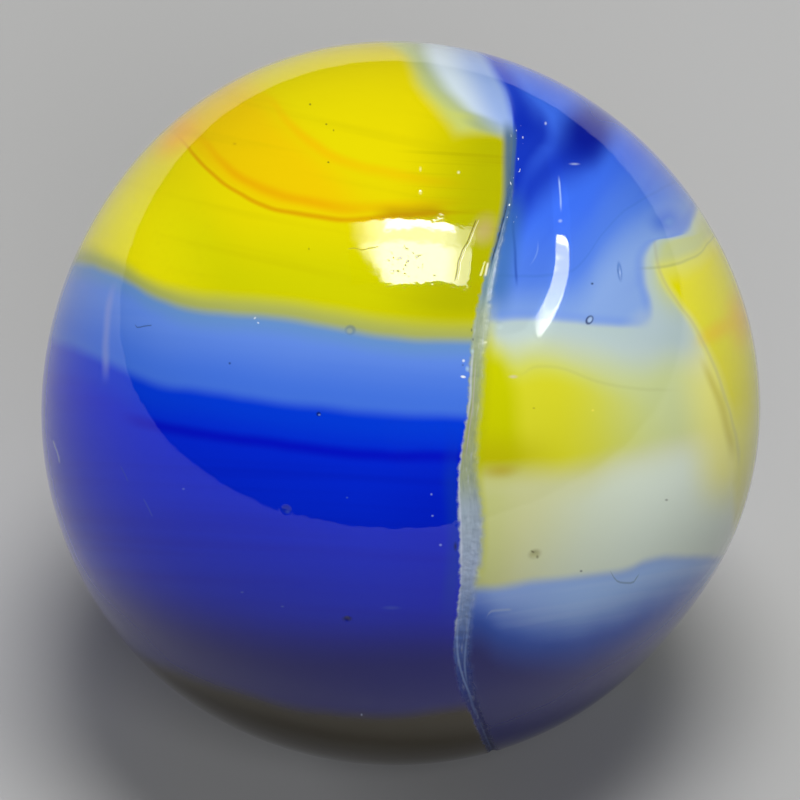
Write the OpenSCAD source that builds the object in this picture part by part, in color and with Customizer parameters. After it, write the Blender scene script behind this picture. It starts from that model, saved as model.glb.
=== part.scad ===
// Glass marble: a solid ball of machine-made swirl glass. Two gobs of striped glass
// met and closed on each other, so one fold runs down the face like a long S: an open,
// crumbly crease with a sharp lip on its left and a sunken shoulder on its right.
//
// Frame: the origin is the centre of the ball and +Z is up. The ball is drawn in its
// face frame, +X to the right, +Y up the face and +Z out of the face, and is then
// tipped so that the face looks forward along -Y and up by face_tilt.

/* [Ball] */
// Diameter of the ball
ball_d = 16; // [12:0.5:25]
// How far the face with the fold looks up from level, in degrees
face_tilt = 40; // [0:5:90]

/* [Fold] */
// Width of the open crease where it is widest
crease_w = 0.55; // [0.3:0.05:0.8]
// Depth of the crease where it is deepest
crease_depth = 0.14; // [0.08:0.02:0.24]
// Width of the sunken shoulder beside the crease where it is widest
shoulder_w = 1.6; // [0.8:0.1:2]
// Depth of the shoulder where it meets the crease
shoulder_depth = 0.1; // [0.04:0.02:0.14]

/* [Open bubbles] */
// Diameter of the widest bubble that is open at the surface
bubble_d = 0.32; // [0.2:0.02:0.6]
// Depth of an open bubble, in hundredths of its diameter
bubble_sink = 35; // [20:5:50]

/* [Streams] */
// Width of the widest orange thread
orange_thread_w = 0.26; // [0.1:0.02:0.5]
// Width of the dark thread in the blue glass
dark_thread_w = 0.16; // [0.06:0.02:0.4]

/* [Hidden] */
$fn = 96;

ball_r = ball_d / 2;

deep_blue = [0.0, 0.1, 0.76];
navy = [0.0, 0.03, 0.46];
periwinkle = [0.32, 0.5, 0.9];
steel_blue = [0.46, 0.56, 0.78];
yellow = [0.9, 0.85, 0.0];
lemon = [0.84, 0.82, 0.16];
orange = [0.92, 0.62, 0.0];
cream = [0.78, 0.8, 0.62];
milk_white = [0.76, 0.82, 0.88];
frosted = [0.72, 0.75, 0.8];

// The fold's line down the ball, from the top edge of the face to behind its lower edge.
// Each row holds degrees round the ball (90 top edge, 0 middle, -90 lower edge), degrees
// across to the right, and the shares of crease_w and of crease_depth there. A depth
// share below zero lifts the cutter clear of the ball.
fold_line = [
    [90, 13, 0.2, -1], [73, 15, 0.2, -1], [65, 17, 0.2, -0.6], [58, 18, 0.2, 0.2],
    [51, 18.3, 0.2, 0.7], [44, 18, 0.2, 0.9], [36, 17.5, 0.3, 0.9], [30, 16.4, 0.3, 0.9],
    [24, 15, 0.3, 0.9], [18, 13.6, 0.4, 0.9], [12, 13, 0.6, 0.9], [6, 12.3, 0.6, 1],
    [0, 12, 0.5, 0.9], [-6, 11.3, 0.6, 0.9], [-12, 10.8, 0.8, 1], [-20, 11.4, 1, 1],
    [-27, 11.2, 0.8, 0.9], [-34, 10.4, 0.6, 0.8], [-42, 9.8, 0.6, 0.8], [-50, 10.2, 0.6, 0.7],
    [-58, 11.6, 0.5, 0.7], [-68, 13.2, 0.4, 0.7], [-78, 14.4, 0.5, 0.8], [-88, 15, 0.4, 0.6],
    [-98, 15, 0.3, 0.2], [-106, 15, 0.2, -1]];

// The shoulder's share of its full width and depth, by degrees round the ball
shoulder_share = [[2, -1], [8, 0.2], [16, 0.8], [22, 1], [36, 1], [44, 0.8], [52, 0.4], [62, -1]];

// Steps of the fold's curve between two rows, how far the cutters stand over the ball,
// how far a crease wall leans and the least share that keeps a shoulder's width open
fold_steps = 3;
cutter_top = 0.4;
wall_lean = 0.04;
least_share = 0.15;

// Where the open bubbles lie on the face, in hundredths of the ball's radius, and the
// share of bubble_d that each one has
bubbles = [[-13, 20, 0.9], [-31, -29, 1], [-14, -59, 0.7], [52, 23, 0.5], [37, -41, 0.8],
    [74, 51, 0.9]];

// Edges of the streams left of the fold, in hundredths of the ball's radius as seen on
// the face. Points past 100 run off the ball.
yellow_foot = [[-115, 44], [-90, 38], [-83, 37], [-75, 33], [-69, 29], [-61, 26], [-47, 24],
    [-33, 23], [-19, 21], [0, 17], [11, 17], [40, 17]];
periwinkle_foot = [[-115, 22], [-90, 16], [-80, 13], [-75, 7], [-66, 5], [-54, 4], [-39, 1],
    [-19, -1], [0, -3], [40, -3]];
navy_head = [[-115, -50], [-77, -53], [-52, -60], [-22, -64], [15, -63], [40, -63]];
blue_foot = [[-115, -48], [-90, -62], [-75, -70], [-59, -75], [-44, -80], [-22, -85],
    [-7, -86], [17, -84], [40, -83]];
fringe_edge = [[-6, 130], [0, 99], [4, 89], [9, 82], [14, 76], [20, 73], [31, 73], [60, 70]];
white_edge = [[2, 130], [5, 98], [8, 93], [11, 88], [14, 84], [19, 80], [24, 77], [31, 75],
    [60, 74]];
low_orange = [[-62, 75], [-53, 63], [-46, 58], [-37, 55], [-26, 51.5], [-12, 50], [4, 50]];
mid_orange = [[-58, 77], [-52, 70], [-46, 65], [-37, 60], [-26, 57], [-12, 54], [0, 52]];
high_orange = [[-48, 91], [-38, 85], [-33, 79], [-27, 72], [-21, 67], [-12, 64], [0, 63]];
dark_thread = [[-74, -5], [-58, -8], [-47, -9.5], [-33, -11], [-19, -13], [0, -14], [12, -15]];

// Edges of the streams right of the fold, in the same measure
cream_head = [[-30, 24], [26, 24], [34, 24.5], [44, 24], [54, 22], [64, 21], [69, 24],
    [68, 28], [66, 34], [66, 39], [68, 43], [72, 46], [78, 46], [80, 49], [82, 54], [88, 60],
    [115, 70]];
edge_yellow = [[120, 60], [85, 44.5], [78, 40], [73, 38], [72, 34], [77, 28], [81, 23],
    [85, 18], [87, 11], [89, 1], [91, -5], [93, -12], [94, -20], [120, -35]];
lemon_rim = [[-30, 14], [24, 13], [31, 9], [39, 10], [50, 8], [60, 3], [66, -5], [60, -14],
    [46, -20], [30, -23], [-30, -24]];
cream_foot = [[-30, -53], [20, -53], [29, -52], [37, -50], [46, -48], [56, -46], [63, -44],
    [68, -42], [77, -41], [89, -42], [120, -46]];
steel_foot = [[-30, -58], [20, -59], [29, -62], [46, -62], [57, -59], [71, -54], [85, -49],
    [120, -44]];
dusk_blob = [[50, 120], [48, 84], [40, 70], [31, 58], [36, 58], [46, 66], [56, 70], [60, 80],
    [66, 120]];

// The end of the drawing, well past the ball, in the same measure
far = 200;

// ---- Curves and places ----

function spline_point(a, b, c, d, t) =
    (2 * b + (c - a) * t + (2 * a - 5 * b + 4 * c - d) * t ^ 2
        + (3 * b - a - 3 * c + d) * t ^ 3) / 2;

// A smooth curve through every point, with n steps between two points
function smooth(points, n = 4) =
    let (last = len(points) - 1)
    [for (i = [0:last - 1], k = [0:n - 1])
        spline_point(points[max(i - 1, 0)], points[i], points[i + 1],
            points[min(i + 2, last)], k / n),
     points[last]];

function unit(v) = v / norm(v);

// The direction of a place on the ball, from degrees round and degrees across
function on_ball(round_angle, across) =
    [sin(across), cos(across) * sin(round_angle), cos(across) * cos(round_angle)];

// The direction of a place on the face, in hundredths of the radius
function on_face(x, y) = [x / 100, y / 100, sqrt(1 - (x ^ 2 + y ^ 2) / 10000)];

// ---- Fold ----

fold = smooth(fold_line, fold_steps);
fold_places = [for (row = fold) on_ball(row[0], row[1])];

// The crease's section at a row of the fold: distance across the fold, height over the
// ball's surface
function crease_section(row) =
    let (w = crease_w * row[2], d = crease_depth * row[3])
    [[-w / 2 - wall_lean, cutter_top], [-w / 2, -0.1 * d], [-w / 4, -d],
     [w / 4, -0.9 * d], [w / 2, -0.1 * d], [w / 2 + wall_lean, cutter_top]];

// The shoulder's section: it starts inside the crease and rises to the ball's surface
function shoulder_section(row) =
    let (share = lookup(row[0], shoulder_share),
        w = shoulder_w * max(share, least_share),
        d = shoulder_depth * share)
    [[0, cutter_top], [0, -d], [w * 0.55, -0.85 * d], [w * 0.8, -0.4 * d],
     [w, 0.1 * abs(d)], [w + wall_lean, cutter_top]];

// A section set square to the fold at its place i and wrapped round the ball
function ring_at(i, section) =
    let (out = fold_places[i],
        along = fold_places[min(i + 1, len(fold) - 1)] - fold_places[max(i - 1, 0)],
        right = unit(cross(out, along)))
    [for (p = section)
        let (turn = p[0] / ball_r * 180 / PI)
        (ball_r + p[1]) * (cos(turn) * out + sin(turn) * right)];

// A closed tube through rings of equally many points
module tube(rings) {
    around = len(rings[0]);
    last = len(rings) - 1;
    sides = [for (i = [0:last - 1], k = [0:around - 1])
        let (a = i * around + k, b = i * around + (k + 1) % around, c = a + around, d = b + around)
        each [[a, c, b], [b, c, d]]];
    start = [for (k = [1:around - 2]) [0, k, k + 1]];
    end = [for (face = start) [for (p = [face[0], face[2], face[1]]) last * around + p]];
    polyhedron([for (ring = rings) each ring], concat(sides, start, end), convexity = 6);
}

module crease() color(frosted)
    tube([for (i = [0:len(fold) - 1]) ring_at(i, crease_section(fold[i]))]);

module shoulder() color(periwinkle)
    tube([for (i = [0:len(fold) - 1])
        if (fold[i][0] > 0 && fold[i][0] < 64) ring_at(i, shoulder_section(fold[i]))]);

module open_bubbles() color(frosted)
    for (b = bubbles) {
        d = bubble_d * b[2];
        translate(on_face(b[0], b[1]) * (ball_r + d / 2 - d * bubble_sink / 100))
            sphere(d = d, $fn = 24);
    }

// ---- Streams of coloured glass ----

// All that lies beyond a smooth edge, up, down or to the right, out past the ball
module above(edge) polygon(concat(smooth(edge), [[far, far], [-far, far]]));
module below(edge) polygon(concat(smooth(edge), [[far, -far], [-far, -far]]));
module right_of(edge) polygon(concat(smooth(edge), [[far, -far], [far, far]]));

// A thread of glass along a line, tapered to both ends. Its width is a real size.
module thread(line, w) {
    path = smooth(line);
    last = len(path) - 1;
    half = [for (i = [0:last]) w / ball_r * 50 * sqrt(sin(180 * (i + 0.4) / (last + 0.8)))];
    polygon(concat([for (i = [0:last]) path[i] + [0, half[i]]],
        [for (i = [last:-1:0]) path[i] - [0, half[i]]]));
}

// The fold seen straight onto the face, run out past the ball
fold_view = concat([[13, far]], [for (p = fold_places) if (p[2] > 0) [p[0], p[1]] * 100],
    [[26, -far]]);

module left_half() polygon(concat(fold_view, [[-far, -far], [-far, far]]));
module right_half() polygon(concat(fold_view, [[far, -far], [far, far]]));

// The glass left of the fold, each stream laid over those before it
left_glass = [deep_blue, navy, yellow, periwinkle, yellow, cream, milk_white, orange, orange,
    orange, navy];

module left_stream(i) intersection() {
    left_half();
    union() {
        if (i == 0) left_half();
        if (i == 1) below(navy_head);
        if (i == 2) below(blue_foot);
        if (i == 3) above(periwinkle_foot);
        if (i == 4) above(yellow_foot);
        if (i == 5) right_of(fringe_edge);
        if (i == 6) right_of(white_edge);
        if (i == 7) thread(low_orange, orange_thread_w);
        if (i == 8) thread(mid_orange, orange_thread_w * 0.6);
        if (i == 9) thread(high_orange, orange_thread_w * 0.8);
        if (i == 10) thread(dark_thread, dark_thread_w);
    }
}

// The glass right of the fold, each stream laid over those before it
right_glass = [periwinkle, deep_blue, cream, lemon, steel_blue, navy, yellow];

module right_stream(i) intersection() {
    right_half();
    union() {
        if (i == 0) right_half();
        if (i == 1) polygon(smooth(dusk_blob));
        if (i == 2) below(cream_head);
        if (i == 3) polygon(smooth(lemon_rim));
        if (i == 4) below(cream_foot);
        if (i == 5) below(steel_foot);
        if (i == 6) right_of(edge_yellow);
    }
}

// The plain ball, turned so that the seam of its surface lies within one stream
module ball() rotate([0, 0, 165]) sphere(d = ball_d);

// A field of the face, in hundredths of the radius, carried straight through the ball
module through_ball() intersection() {
    ball();
    linear_extrude(ball_d * 1.1, center = true) scale(ball_r / 100) children();
}

module streams() {
    for (i = [0:len(left_glass) - 1])
        color(left_glass[i]) through_ball() difference() {
            left_stream(i);
            for (j = [i + 1:1:len(left_glass) - 1]) left_stream(j);
        }
    for (i = [0:len(right_glass) - 1])
        color(right_glass[i]) through_ball() difference() {
            right_stream(i);
            for (j = [i + 1:1:len(right_glass) - 1]) right_stream(j);
        }
}

module marble() rotate([90 - face_tilt, 0, 0])
    difference() {
        streams();
        shoulder();
        crease();
        open_bubbles();
    }

marble();
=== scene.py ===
"""Looks of the swirl-glass marble.

The ball is one mesh, fine along the fold and at the open bubbles, with the fold's crease,
its sunken shoulder and the bubbles cut into it. Its glass is painted by streams, threads
and spots of colour that are placed on the face, in hundredths of the ball's radius.
"""

import logging
import math
from abc import ABC, abstractmethod
from collections.abc import Callable
from dataclasses import dataclass, field
from enum import Enum
from functools import partial
from typing import Any, ClassVar

import bmesh
import bpy
import numpy as np
from mathutils import Matrix, Vector, noise


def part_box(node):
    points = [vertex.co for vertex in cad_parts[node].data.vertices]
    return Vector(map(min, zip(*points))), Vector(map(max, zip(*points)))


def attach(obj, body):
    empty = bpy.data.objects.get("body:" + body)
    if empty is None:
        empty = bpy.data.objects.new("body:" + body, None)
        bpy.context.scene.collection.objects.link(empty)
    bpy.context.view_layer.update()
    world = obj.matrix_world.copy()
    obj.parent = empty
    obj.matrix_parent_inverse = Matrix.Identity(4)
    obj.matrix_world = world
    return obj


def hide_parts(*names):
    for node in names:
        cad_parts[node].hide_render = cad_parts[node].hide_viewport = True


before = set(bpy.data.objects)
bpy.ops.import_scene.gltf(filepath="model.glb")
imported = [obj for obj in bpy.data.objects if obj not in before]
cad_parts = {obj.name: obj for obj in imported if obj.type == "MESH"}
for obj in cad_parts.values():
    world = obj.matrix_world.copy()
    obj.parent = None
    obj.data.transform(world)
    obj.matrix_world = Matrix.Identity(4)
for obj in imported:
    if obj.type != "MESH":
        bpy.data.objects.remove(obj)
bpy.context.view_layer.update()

log = logging.getLogger("marble")

Point = tuple[float, float]
Points = tuple[Point, ...]
Triple = tuple[float, float, float]
Rows = tuple[tuple[float, ...], ...]
Array = np.ndarray
Socket = bpy.types.NodeSocket
Surface = Callable[["Recipe"], Socket]

MM = 0.001
HUNDREDTHS = 100.0
FULL_TURN = 360
NOISE_MIDDLE = 0.5
SEED_SHIFT = (1.0, 0.7, 1.3)
FACE_TILT = math.radians(40)
RIGHT = Vector((1, 0, 0))
UP = Vector((0, math.sin(FACE_TILT), math.cos(FACE_TILT)))
OUT = Vector((0, -math.cos(FACE_TILT), math.sin(FACE_TILT)))


def ball_radius() -> float:
    """The ball's radius in metres, from the largest side of its solid."""
    low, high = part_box("marble")
    return max(high - low) / 2


RADIUS = ball_radius()
RADIUS_MM = RADIUS / MM


def linear(code: str) -> tuple[float, float, float, float]:
    """Turn a colour code such as #E4D700 into a linear colour.

    Args:
        code: the colour as it looks on a screen.

    Returns:
        Red, green, blue and alpha for a shader.
    """
    shares = [int(code[i:i + 2], 16) / 255 for i in (1, 3, 5)]
    knee, foot, lift, power = 0.04045, 12.92, 0.055, 2.4
    made = [s / foot if s <= knee else ((s + lift) / (1 + lift)) ** power for s in shares]
    return (made[0], made[1], made[2], 1.0)


# ---- Shader recipes ----


class Amount:
    """A number that varies over a surface: a node socket used in plain expressions."""

    def __init__(self, recipe: "Recipe", socket: Socket) -> None:
        """Wrap a socket of a recipe."""
        self.recipe = recipe
        self.socket = socket

    def __add__(self, other: "Amount | float") -> "Amount":
        """Add a number or an amount."""
        return self.recipe.maths("ADD", self, other)

    __radd__ = __add__

    def __sub__(self, other: "Amount | float") -> "Amount":
        """Take a number or an amount away."""
        return self.recipe.maths("SUBTRACT", self, other)

    def __rsub__(self, other: float) -> "Amount":
        """Take this amount from a number."""
        return self.recipe.maths("SUBTRACT", other, self)

    def __mul__(self, other: "Amount | float") -> "Amount":
        """Multiply by a number or an amount."""
        return self.recipe.maths("MULTIPLY", self, other)

    __rmul__ = __mul__

    def __abs__(self) -> "Amount":
        """Drop the sign."""
        return self.recipe.maths("ABSOLUTE", self)

    def at_least(self, other: "Amount | float") -> "Amount":
        """The larger of the two."""
        return self.recipe.maths("MAXIMUM", self, other)

    def rise(self, low: float, high: float, top: float = 1.0) -> "Amount":
        """A smooth step: 0 up to low and the top from high on, or falling if high is lower."""
        made = self.recipe.node("MapRange", {"interpolation_type": "SMOOTHSTEP", "clamp": False},
                                {"Value": self, "From Min": min(low, high),
                                 "From Max": max(low, high), "To Min": top * (low > high),
                                 "To Max": top * (low <= high)})
        return Amount(self.recipe, made.outputs["Result"])


class Recipe:
    """Builds the nodes of one material."""

    MIX_FACTOR, MIX_A, MIX_B, MIX_RESULT = 0, 6, 7, 2

    def __init__(self, tree: bpy.types.NodeTree) -> None:
        """Start with an empty tree."""
        self.tree = tree
        tree.nodes.clear()

    def node(self, kind: str, settings: dict[str, Any] | None = None,
             sockets: dict[str | int, Any] | None = None) -> bpy.types.Node:
        """Add a node.

        Args:
            kind: the node's type, without the prefix that all of them have.
            settings: its own settings, set first. "curve" holds a curve's points and
                "stops" a ramp's stops.
            sockets: the value or the link of each socket, by name or number.

        Returns:
            The new node.
        """
        made = self.tree.nodes.new("ShaderNode" + kind)
        for name, value in (settings or {}).items():
            if name == "curve":
                self.draw_curve(made.mapping, value)
            elif name == "stops":
                self.set_stops(made.color_ramp, value)
            else:
                setattr(made, name, value)
        for key, value in (sockets or {}).items():
            source = value.socket if isinstance(value, Amount) else value
            if isinstance(source, Socket):
                self.tree.links.new(source, made.inputs[key])
            else:
                made.inputs[key].default_value = source
        return made

    @staticmethod
    def draw_curve(mapping: bpy.types.CurveMapping, points: Points) -> None:
        """Give a curve node its points, which rise along the first number."""
        mapping.extend = "HORIZONTAL"
        drawn = mapping.curves[0].points
        while len(drawn) < len(points):
            drawn.new(0, 0)
        for place, point in zip(drawn, points):
            place.location = point
            place.handle_type = "AUTO_CLAMPED"
        mapping.update()

    @staticmethod
    def set_stops(ramp: bpy.types.ColorRamp, stops: list[tuple[float, str]]) -> None:
        """Give a ramp its stops, each a place and a colour code."""
        ramp.interpolation = "EASE"
        while len(ramp.elements) < len(stops):
            ramp.elements.new(1)
        for element, (place, code) in zip(ramp.elements, stops):
            element.position = place
            element.color = linear(code)

    def maths(self, operation: str, *terms: "Amount | float") -> Amount:
        """Add a Math node with the given operation and terms."""
        made = self.node("Math", {"operation": operation}, dict(enumerate(terms)))
        return Amount(self, made.outputs[0])

    def mix(self, share: Amount, under: Any, over: Any) -> Socket:
        """Mix two colours.

        Args:
            share: 0 keeps the colour under, 1 gives the colour over.
            under: a colour code or a socket.
            over: a colour code or a socket.

        Returns:
            The socket of the mixed colour.
        """
        colours = [linear(c) if isinstance(c, str) else c for c in (under, over)]
        made = self.node("Mix", {"data_type": "RGBA"},
                         {self.MIX_FACTOR: share, self.MIX_A: colours[0], self.MIX_B: colours[1]})
        return made.outputs[self.MIX_RESULT]

    def curve(self, share: Amount, points: Points) -> Amount:
        """Read a curve that is drawn on a square from 0 to 1.

        Args:
            share: the place along the curve.
            points: places along the curve and the curve's values there, rising.

        Returns:
            The curve's value there.
        """
        made = self.node("FloatCurve", {"curve": points}, {"Value": share})
        return Amount(self, made.outputs[0])

    def attribute(self, name: str) -> Amount:
        """Read a number that the mesh holds at each point."""
        made = self.node("Attribute", {"attribute_name": name})
        return Amount(self, made.outputs["Fac"])

    def joined(self, *parts: "Amount | float") -> Socket:
        """Join three numbers into a vector."""
        return self.node("CombineXYZ", None, dict(enumerate(parts))).outputs[0]

    def vector(self, operation: str, *terms: Any) -> bpy.types.Node:
        """Add a Vector Math node with the given operation and terms."""
        return self.node("VectorMath", {"operation": operation}, dict(enumerate(terms)))

    def flow(self, turn: float, rates: Point) -> Socket:
        """Measure the surface along a flow across the face and square to it.

        Args:
            turn: how far the flow is turned from the face's right, in degrees.
            rates: how often the streaks change in a hundredth of the radius, along the
                flow and across it.

        Returns:
            The vector of the measures, with nothing along the depth.
        """
        face = Matrix((RIGHT, UP, OUT)).transposed()
        turned = face @ Matrix.Rotation(math.radians(turn), 3, "Z")
        size = [RADIUS / HUNDREDTHS / rate for rate in rates]
        spot = self.node("TexCoord").outputs["Object"]
        made = self.node("Mapping", {"vector_type": "TEXTURE"},
                         {"Vector": spot, "Rotation": turned.to_euler(), "Scale": (*size, 1.0)})
        return made.outputs[0]

    def grain(self, place: Socket, rate: float = 1.0, layers: float = 1.0) -> Amount:
        """Read an even noise, about 0 to 1.

        Args:
            place: the vector to read it at.
            rate: how often it changes in a unit of that vector.
            layers: how many finer layers it has.

        Returns:
            The noise.
        """
        made = self.node("TexNoise", None, {"Vector": place, "Scale": rate, "Detail": layers})
        return Amount(self, made.outputs["Fac"])


def new_material(name: str, surface: Surface) -> bpy.types.Material:
    """Make a material.

    Args:
        name: the name of the material.
        surface: adds the nodes of its surface and gives their shader's socket.

    Returns:
        The new material.
    """
    made = bpy.data.materials.new(name)
    made.use_nodes = True
    recipe = Recipe(made.node_tree)
    recipe.node("OutputMaterial", None, {"Surface": surface(recipe)})
    return made


def put(name: str, data: bpy.types.ID) -> bpy.types.Object:
    """Put an object with the given mesh, lamp or camera into the scene."""
    made = bpy.data.objects.new(name, data)
    bpy.context.scene.collection.objects.link(made)
    return made


# ---- The fold ----


def smooth_rows(rows: Rows, steps: int) -> Array:
    """Draw a smooth curve through rows of numbers.

    Args:
        rows: the rows that it passes through.
        steps: how many steps it takes between two rows.

    Returns:
        The finer rows.
    """
    given = np.array(rows, float)
    last = len(given) - 1
    made = []
    for i in range(last):
        a, b, c, d = given[[max(i - 1, 0), i, i + 1, min(i + 2, last)]]
        for t in np.arange(steps) / steps:
            made.append((2 * b + (c - a) * t + (2 * a - 5 * b + 4 * c - d) * t ** 2
                         + (3 * b - a - 3 * c + d) * t ** 3) / 2)
    return np.array(made + [given[last]])


def ease(value: Array, low: float, high: float) -> Array:
    """A smooth step from 0 at low to 1 at high."""
    t = np.clip((value - low) / (high - low), 0, 1)
    return t * t * (3 - 2 * t)


def within(value: Array, limits: Point) -> Array:
    """Whether each value lies between two limits."""
    return (value > limits[0]) & (value < limits[1])


def speckle(places: Array, scale: float, seed: float) -> Array:
    """Even noise from -1 to 1 at each place, with the given number of changes a millimetre."""
    shift = Vector([seed * part for part in SEED_SHIFT])
    return np.array([noise.noise(Vector(p) * scale + shift) for p in places])


@dataclass
class Fold:
    """The fold that runs down the face: its line, its open crease and its shoulder.

    Lengths are in millimetres. A row of the line holds degrees round the ball, degrees
    across to the right, and the shares of the crease's full width and depth.
    """

    crease_w: float = 0.55
    crease_depth: float = 0.05
    shoulder_depth: float = 0.165
    # The share of the wall's width over which it curves down from the rim
    shoulder_bend: float = 0.35
    # The least share of the shoulder's depth, beside the crease, and the gaps over which it grows
    floor_rise: Triple = (0.15, 0.3, 1.7)
    # Where the shoulder lies, by the gap and by the height on the face, and where it sets in
    shoulder_gaps: Point = (-0.5, 3.0)
    shoulder_heights: Point = (4, 80)
    shoulder_start: Point = (-0.08, 0.05)
    # The crease's reach, and its bed and crumbs in shares of half its width
    reach: float = 1.0
    bed: Point = (0.1, 1.3)
    crumbly: Point = (0.7, 1.6)
    lip: float = 0.005
    lip_w: float = 0.06
    lip_place: float = 1.5
    crumb: float = 0.02
    # The changes a millimetre and the seed of the fine, the finer and the edge's crumbs
    crumb_grain: tuple[Point, ...] = ((6.0, 3.1), (15.0, 8.4), (3.0, 5.2))
    crumb_share: float = 0.5
    steps: int = 6
    line: Rows = (
        (180, 14, 0.1, 0), (120, 14, 0.1, 0), (90, 13, 0.15, 0), (73, 15, 0.15, 0), (65, 17, 0.15, 0),
        (58, 18, 0.2, 0.05), (51, 18.3, 0.2, 0.06), (44, 18, 0.2, 0.08), (36, 17.5, 0.2, 0.1),
        (30, 16.4, 0.22, 0.12), (24, 15, 0.3, 0.18), (18, 13.7, 0.45, 0.3), (12, 12.8, 0.6, 0.45),
        (6, 12.1, 0.55, 0.6), (0, 11.8, 0.5, 0.7), (-6, 11.1, 0.55, 0.8), (-12, 10.7, 0.75, 1),
        (-20, 11.3, 0.95, 1), (-27, 11.1, 0.8, 0.9), (-34, 10.4, 0.6, 0.9), (-42, 9.8, 0.6, 0.9),
        (-50, 10.2, 0.6, 0.9), (-58, 11.6, 0.5, 1), (-68, 13.2, 0.4, 1), (-78, 14.4, 0.4, 1),
        (-88, 15, 0.4, 0.8), (-98, 15, 0.3, 0.6), (-106, 15, 0.2, 0), (-140, 14.5, 0.1, 0),
        (-180, 14, 0.1, 0))
    # The outer rim of the shoulder, in hundredths of the radius on the face
    rim: Points = (
        (43.6, 78), (45.6, 66), (47, 57), (47.4, 52), (47.55, 48), (47.7, 44.5), (47.8, 41), (47.8, 38),
        (47.4, 34), (46.1, 28.7), (44.2, 23.6), (42, 18.9), (39, 14.5), (33, 12), (26, 11))
    # The height on the face, the share of the shoulder's depth and the wall's width in mm
    wall: tuple[Triple, ...] = (
        (6, 0.0, 0.6), (9, 0.15, 0.6), (14, 0.5, 0.6), (19, 0.95, 0.6), (24, 1.12, 0.54),
        (28, 1.1, 0.48), (33, 1.05, 0.43), (40, 1.0, 0.4), (58, 1.0, 0.4), (66, 0.5, 0.4),
        (74, 0.1, 0.4), (78, 0.0, 0.4))
    # The degrees round the ball, and the share of the raised lip left of the crease there
    lips: Points = (
        (-60, 0.2), (-20, 0.3), (10, 0.2), (16, 0.0), (20, 0.0), (21.2, 0.7), (23.4, 0.6), (25, 0.0))
    # The degrees round the ball, and how rough the crease is there
    crumbs: Points = (
        (-70, 0.3), (-48, 0.6), (-44, 0.9), (-38, 0.5), (-14, 0.3), (0, 0.3), (6, 0.45), (12, 0.4),
        (18, 0.25), (36, 0.2), (56, 0.2))

    def __post_init__(self) -> None:
        """Draw the line finely, rising round the ball."""
        self.rows = smooth_rows(self.line, self.steps)[::-1]

    def at(self, turn: Array, column: int) -> Array:
        """Read a column of the line at degrees round the ball."""
        return np.interp(turn, self.rows[:, 0], self.rows[:, column])

    def measure(self, out: Array) -> tuple[Array, Array]:
        """Find where directions lie beside the fold.

        Args:
            out: unit directions in the face frame, one a row.

        Returns:
            The distance across the fold in millimetres, to the right, and the degrees
            round the ball.
        """
        turn = np.degrees(np.arctan2(out[:, 1], out[:, 2]))
        across = np.degrees(np.arcsin(np.clip(out[:, 0], -1, 1)))
        step = 1.0
        slope = (self.at(turn + step, 1) - self.at(turn - step, 1)) / (2 * step)
        lean = np.cos(np.arctan(slope))
        return np.radians(across - self.at(turn, 1)) * lean * RADIUS_MM, turn

    def rim_distance(self, out: Array) -> Array:
        """The distance of front directions from the rim, in millimetres, positive inside."""
        path = smooth_rows(self.rim, self.steps) / HUNDREDTHS
        depth = np.sqrt(1 - (path ** 2).sum(1))
        path = np.column_stack([path, depth])
        best = np.full(len(out), np.inf)
        side = np.zeros(len(out))
        for a, b in zip(path[:-1], path[1:]):
            run = b - a
            share = np.clip((out - a) @ run / (run @ run), 0, 1)
            gap = out - a - share[:, None] * run
            far = np.linalg.norm(gap, axis=1)
            nearer = far < best
            best[nearer] = far[nearer]
            turn = np.cross(run, gap) @ a
            side[nearer] = np.sign(turn[nearer])
        return -side * best * RADIUS_MM

    def height(self, out: Array) -> Array:
        """The fold's relief over the plain ball, in millimetres, at unit directions."""
        gap, turn = self.measure(out)
        made = self.shoulder(out, gap)
        near = (np.abs(gap) < self.reach) & (self.at(turn, 3) > 0)
        gap, turn = gap[near], turn[near]
        where = out[near] * RADIUS_MM
        half = self.crease_w * self.at(turn, 2) / 2
        depth = self.crease_depth * self.at(turn, 3)
        fine, finer, ragged = (speckle(where, *grain) for grain in self.crumb_grain)
        crumbs = self.crumb * np.interp(turn, *np.array(self.crumbs).T)
        edge = np.abs(gap + self.crumb_share * crumbs * ragged) / half
        made[near] -= depth * (1 - ease(edge, *self.bed))
        made[near] += (crumbs * (fine + self.crumb_share * finer)
                       * (1 - ease(edge, *self.crumbly)))
        lip = self.lip * np.interp(turn, *np.array(self.lips).T)
        made[near] += lip * np.exp(-((gap + half * self.lip_place) / self.lip_w) ** 2)
        return made

    def shoulder(self, out: Array, gap: Array) -> Array:
        """The shoulder's part of the relief, at unit directions with their gaps."""
        made = np.zeros(len(out))
        heights, shares, widths = np.array(self.wall).T
        place = out[:, 1] * HUNDREDTHS
        near = (out[:, 2] > 0) & within(gap, self.shoulder_gaps)
        near &= within(place, self.shoulder_heights)
        inside = self.rim_distance(out[near])
        share = np.interp(place[near], heights, shares)
        width = np.interp(place[near], heights, widths)
        down = np.clip(inside / width, 0, 1)
        bend = self.shoulder_bend
        down = np.where(down < bend, down ** 2 / (2 * bend), down - bend / 2) / (1 - bend / 2)
        least, start, end = self.floor_rise
        down *= least + (1 - least) * ease(gap[near], start, end)
        made[near] = -self.shoulder_depth * share * down * ease(gap[near], *self.shoulder_start)
        return made


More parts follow.
